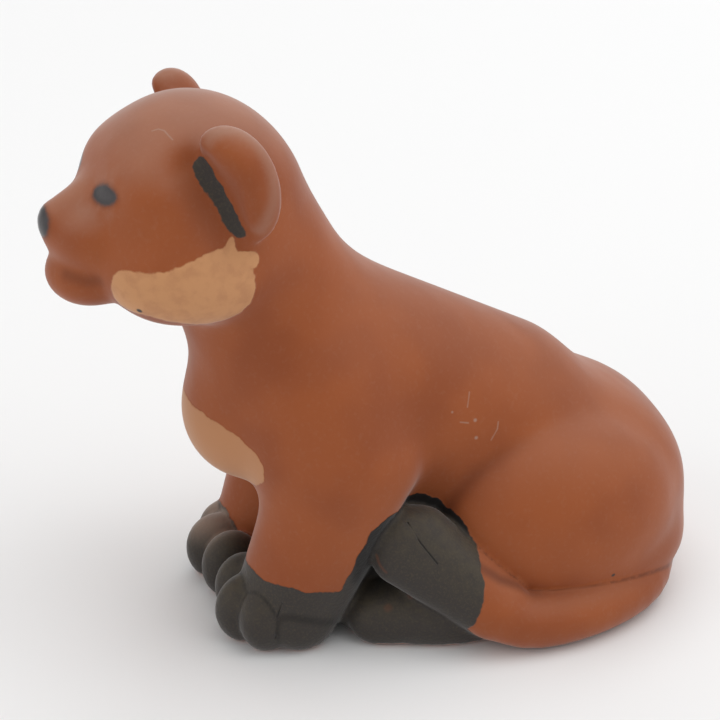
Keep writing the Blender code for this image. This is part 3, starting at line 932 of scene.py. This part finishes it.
def clay_colour(paint, look, crease):
    """Terracotta: blotchy from the kiln, with dirt and painted shade in its creases, and paler
    with dust and painted sheen where it faces up.
    """
    fired = paint.ramp(paint.noise(KILN_BLOTCH), 0.35, 0.65, 0, 0.8)
    surface = paint.mixed(fired, look.clay, look.clay_dark)
    grit = paint.ramp(paint.noise(CLAY_GRIT, 4), 0.5, 0.75, 0, 0.05)
    surface = paint.mixed(grit, surface, look.haze_and_sheen)
    # Dust and painted sheen: the clay is paler where it faces up, most on the head
    dust = paint.ramp(paint.kept("upward"), 0.3, 1)
    dust = paint.math("MULTIPLY", dust, paint.ramp(paint.along("Z"), 45, 75, 0.1, 0.32))
    surface = paint.mixed(dust, surface, look.haze_and_sheen)
    # A painted highlight along each ear's rim, in the pale haze colour
    rims = [paint.stroke([on_head(point, side) for point in EAR_RIM]) for side in (LEFT, RIGHT)]
    rim = paint.ramp(paint.nearest(rims), RIM_REACH, 0, 0, 0.25)
    surface = paint.mixed(rim, surface, look.haze_and_sheen)
    muzzle = paint.ramp(paint.stroke((on_head(BRIDGE), on_head(EYE)), 3), 3, -2, 0, 0.16)
    rubbed = paint.ramp(paint.noise(MUZZLE_RUB), 0.35, 0.7)
    surface = paint.mixed(paint.math("MULTIPLY", muzzle, rubbed), surface, look.haze_and_sheen)
    # Painted shade along the mouth line
    mouth = paint.stroke([on_head(point) for point in MOUTH])
    surface = paint.mixed(paint.ramp(mouth, MOUTH_REACH, 0, 0, 0.3), surface, look.stain_and_shade)
    # Painted shade in the fold above the left thigh, and darkening in the fold under it where the
    # tail curls up, each fading out towards the back
    back = paint.along("Y")
    for fold, reach, darkest, clean, share in (
        (THIGH_FOLD, THIGH_REACH, 10, 26, 0.35),
        (TAIL_FOLD, TAIL_REACH, 15, 23, 0.55),
    ):
        near = paint.ramp(paint.stroke(fold), reach, 0)
        fold_darkening = paint.math("MULTIPLY", near, paint.ramp(back, clean, darkest, 0, share))
        surface = paint.mixed(fold_darkening, surface, look.stain_and_shade)
    # Dirt and painted shade darken the creases
    return paint.mixed(paint.ramp(crease, 0.3, 0.9, 0, 0.7), surface, look.stain_and_shade)


def dark_colour(paint, look, crease):
    """Dark slip: dry and gritty, olive-grey, with dust and painted sheen where it faces up, most
    on the right paw, and painted black shade in its creases and in the hollow round the tuft."""
    upward = paint.kept("upward")
    # Dust and painted sheen: the dark slip is paler where it faces up
    patches = paint.ramp(paint.noise(DUST_PATCH, 4), 0.3, 0.65, 0.3, 1)
    dust = paint.math("MULTIPLY", paint.ramp(upward, -0.1, 0.9, 0, 0.5), patches)
    surface = paint.mixed(dust, look.dark, look.dark_dust_and_sheen)
    grit = paint.ramp(paint.noise(SLIP_GRIT, 3), 0.45, 0.75, 0, 0.45)
    surface = paint.mixed(grit, surface, look.dark_dust_and_sheen)
    # More dust and painted sheen on the right paw's top
    on_right = paint.ramp(paint.along("X"), 0, -6)
    grey = paint.math("MULTIPLY", paint.ramp(upward, 0.1, 0.9, 0, 0.5), on_right)
    surface = paint.mixed(grey, surface, look.haze_and_sheen)
    rubs = paint.ramp(paint.ragged(paint.spots(RUBS), 0.6, 0.4), 0.3, -0.3, 0, 0.13)
    surface = paint.mixed(rubs, surface, look.clay)
    edge = paint.ragged(paint.stroke(RUBBED_EDGE, 0.2), 0.3, 0.3)
    surface = paint.mixed(paint.ramp(edge, 0.3, -0.2, 0, 0.22), surface, look.clay)
    # Painted shadow in the hollow round the tuft, and painted shade in the dark slip's creases
    tuft = paint.kept("tuft")
    tuft_shadow = paint.math("MULTIPLY", paint.ramp(tuft, 0, 0.8), paint.ramp(tuft, 4.4, 2.6))
    tuft_shadow = paint.math("MULTIPLY", tuft_shadow, paint.ramp(paint.along("Z"), 7, 11))
    deep = paint.math("MAXIMUM", tuft_shadow, paint.ramp(crease, 0.4, 0.95, 0, 0.85))
    return paint.mixed(paint.math("MULTIPLY", deep, 0.95), surface, look.dark_painted_shade)


def tan_colour(paint, look):
    """Tan slip: chalky, brushed on unevenly, and thinner and browner on the breast."""
    breast = paint.ramp(paint.along("Z"), 50, 40, 0, 0.6)
    brushed = paint.ramp(paint.noise(BRUSH_MARK, 5), 0.4, 0.7, 0, 0.45)
    return paint.mixed(paint.math("MAXIMUM", breast, brushed), look.tan, look.tan_worn)


def painted_clay(look):
    """Terracotta fired without a glaze and painted with slips by brush: dull all over, with a
    pale sheen at a grazing angle from the fine dust, and only the face slip a little glossy."""
    paint = Paint("painted terracotta")
    dark_edge = paint.ragged(paint.kept("dark_slip"), 1.3, 0.15)
    tan_edge = paint.ragged(paint.kept("tan_slip"), 0.9, 0.2)
    face_edge = paint.ragged(paint.kept("face_slip"), 0.5, 0.3)

    worn = paint.math("MULTIPLY_ADD", paint.noise(FOOT_WEAR), -1.6, 1.3)
    bare_foot = paint.math("SUBTRACT", worn, paint.along("Z"))
    dark_edge = paint.math("MAXIMUM", dark_edge, bare_foot)

    dark = paint.ramp(dark_edge, 0.12, -0.12)
    tan = paint.ramp(tan_edge, 0.12, -0.12)
    face = paint.ramp(face_edge, 0.4, -0.35)

    # The cut lines also take the creases' painted shade, besides their bump
    cuts = paint.nearest([paint.stroke(TOE_CUT), paint.stroke(TUFT_CUT)])
    cut = paint.ramp(cuts, 2 * CUT_HALF_WIDTH, 0)
    crease = paint.math("MAXIMUM", paint.kept("crease"), cut)

    surface = paint.mixed(tan, clay_colour(paint, look, crease), tan_colour(paint, look))
    surface = paint.mixed(dark, surface, dark_colour(paint, look, crease))
    halo = paint.ramp(face_edge, 0.9, 0, 0, 0.35)
    surface = paint.mixed(halo, surface, look.stain_and_shade)
    surface = paint.mixed(face, surface, look.face)
    # A painted highlight in the middle of the eyes and the nose
    surface = paint.mixed(paint.ramp(face_edge, -0.2, -1.2, 0, 0.3), surface, look.face_highlight)
    scratches = paint.nearest([paint.stroke(points) for points in SCRATCHES])
    scratches = paint.ramp(scratches, 2 * SCRATCH_HALF_WIDTH, 0, 0, 0.45)
    surface = paint.mixed(scratches, surface, look.haze_and_sheen)
    pale = paint.ramp(paint.spots(PALE_SPOTS), 0.1, -0.2, 0, 0.6)
    surface = paint.mixed(pale, surface, look.haze_and_sheen)
    surface = paint.mixed(paint.ramp(paint.spots(DARK_SPOTS), 0.1, -0.2), surface, look.dark)
    paint.tree.links.new(surface, paint.shader.inputs["Base Color"])

    slips = paint.nearest([dark_edge, tan_edge])
    relief = paint.math("MULTIPLY", paint.ramp(slips, 0.3, -0.3), look.slip_thickness / MM)
    grit = paint.ramp(dark, 0, 1, 0.012, 0.06)
    relief = paint.math("MULTIPLY_ADD", paint.noise(SURFACE_GRIT, 3), grit, relief)
    relief = paint.math("MULTIPLY_ADD", paint.noise(HAND_DENT, 1), 0.25, relief)
    relief = paint.math("MULTIPLY_ADD", cut, -CUT_DEPTH, relief)
    bump = add(paint.tree, "ShaderNodeBump", Height=relief, Strength=1.0, Distance=MM)
    paint.tree.links.new(bump.outputs[0], paint.shader.inputs["Normal"])
    roughness = paint.ramp(face, 0, 1, CLAY_ROUGHNESS, FACE_ROUGHNESS)
    paint.tree.links.new(roughness, paint.shader.inputs["Roughness"])
    paint.shader.inputs["IOR"].default_value = CLAY_IOR
    paint.shader.inputs["Sheen Weight"].default_value = SHEEN_WEIGHT
    paint.shader.inputs["Sheen Roughness"].default_value = SHEEN_ROUGHNESS
    return paint.material


class CUB_OT_figurine(bpy.types.Operator):
    """Models the cub in one piece and paints it"""

    bl_idname = "cub.figurine"
    bl_label = "Lion Cub"

    def execute(self, context):
        look = context.scene.cub_look
        cub = bpy.data.objects.new("lion_cub", bpy.data.meshes.new("lion_cub"))
        context.scene.collection.objects.link(cub)
        modifier = cub.modifiers.new("Clay", "NODES")
        modifier.node_group = cub_tree()
        given = {
            "Grain": look.grain,
            "Low Corner": CAD_LOW,
            "High Corner": CAD_HIGH,
            "Clay": painted_clay(look),
        }
        for socket in modifier.node_group.interface.items_tree:
            if socket.in_out == "INPUT":
                modifier[socket.identifier] = given[socket.name]
        graph = context.evaluated_depsgraph_get()
        mesh = bpy.data.meshes.new_from_object(cub.evaluated_get(graph))
        cub.modifiers.clear()
        cub.data = mesh
        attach(cub, "root")
        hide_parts("lion_figurine")
        return {"FINISHED"}


class CUB_OT_stage(bpy.types.Operator):
    """Makes the floor, the soft light and the camera"""

    bl_idname = "cub.stage"
    bl_label = "Studio"

    def execute(self, context):
        stage = context.scene.cub_stage
        self.make_floor(context, stage)
        self.make_lights(context, stage)
        self.make_camera(context, stage)
        context.scene.view_settings.view_transform = "Standard"
        return {"FINISHED"}

    def make_floor(self, context, stage):
        """A wide, plain, pale floor."""
        sides = ((-1, -1), (1, -1), (1, 1), (-1, 1))
        corners = [(FLOOR_HALF * x, FLOOR_HALF * y, 0) for x, y in sides]
        mesh = bpy.data.meshes.new("floor")
        mesh.from_pydata(corners, [], [(0, 1, 2, 3)])
        floor = bpy.data.objects.new("floor", mesh)
        context.scene.collection.objects.link(floor)
        material = bpy.data.materials.new("matt white paper")
        material.use_nodes = True
        shader = material.node_tree.nodes["Principled BSDF"]
        shader.inputs["Base Color"].default_value = (*stage.floor, 1)
        shader.inputs["Roughness"].default_value = 0.9
        shader.inputs["Specular IOR Level"].default_value = 0.2
        mesh.materials.append(material)

    def make_lights(self, context, stage):
        """Even white light all round, and wide lights above, behind and at both sides."""
        world = bpy.data.worlds.new("studio")
        world.use_nodes = True
        background = world.node_tree.nodes["Background"]
        background.inputs["Color"].default_value = (1, 1, 1, 1)
        background.inputs["Strength"].default_value = stage.sky_strength
        context.scene.world = world
        behind = -Vector((math.sin(stage.azimuth), -math.cos(stage.azimuth), 0))
        beside = Vector((math.cos(stage.azimuth), math.sin(stage.azimuth), 0))
        for name, ((back, right, up), size) in LIGHTS.items():
            place = behind * back + beside * right + Vector((0, 0, up))
            self.make_light(context, name, place, size, getattr(stage, name + "_power"))

    def make_light(self, context, name, place, size, power):
        """One rectangular light that faces the cub."""
        lamp = bpy.data.lights.new(name, "AREA")
        lamp.shape = "RECTANGLE"
        lamp.size, lamp.size_y = size
        lamp.energy = power
        light = bpy.data.objects.new(name, lamp)
        light.location = place
        towards_cub = (CAD_LOW + CAD_HIGH) / 2 - place
        light.rotation_euler = towards_cub.to_track_quat("-Z", "Y").to_euler()
        context.scene.collection.objects.link(light)

    def make_camera(self, context, stage):
        """The camera at the photograph's angle."""
        lens = bpy.data.cameras.new("camera")
        lens.lens = stage.lens
        lens.sensor_width = SENSOR_WIDTH
        lens.clip_start = 0.01
        camera = bpy.data.objects.new("camera", lens)
        level = math.cos(stage.elevation)
        back = Vector(
            (
                math.sin(stage.azimuth) * level,
                -math.cos(stage.azimuth) * level,
                math.sin(stage.elevation),
            )
        )
        camera.location = Vector((0, 0, stage.aim_height)) + back * stage.distance
        camera.rotation_euler = (-back).to_track_quat("-Z", "Y").to_euler()
        context.scene.collection.objects.link(camera)
        context.scene.camera = camera


class CUB_PT_panel(bpy.types.Panel):
    """Lists the cub's sizes and colours, and the operators that make it"""

    bl_idname = "CUB_PT_panel"
    bl_label = "Lion Cub"
    bl_space_type = "VIEW_3D"
    bl_region_type = "UI"
    bl_category = "Lion Cub"

    def draw(self, context):
        for group in (context.scene.cub_look, context.scene.cub_stage):
            for name in group.bl_rna.properties.keys():
                if name not in ("rna_type", "name"):
                    self.layout.prop(group, name)
        for operator in (CUB_OT_figurine, CUB_OT_stage):
            self.layout.operator(operator.bl_idname)


CLASSES = (CubLook, CubStage, CUB_OT_figurine, CUB_OT_stage, CUB_PT_panel)


def register():
    """Registers the classes and their settings."""
    for item in CLASSES:
        bpy.utils.register_class(item)
    bpy.types.Scene.cub_look = PointerProperty(type=CubLook)
    bpy.types.Scene.cub_stage = PointerProperty(type=CubStage)


def unregister():
    """Removes the settings and the classes."""
    del bpy.types.Scene.cub_stage
    del bpy.types.Scene.cub_look
    for item in reversed(CLASSES):
        bpy.utils.unregister_class(item)


def main():
    register()
    bpy.ops.cub.figurine()
    bpy.ops.cub.stage()


if __name__ == "__main__":
    main()
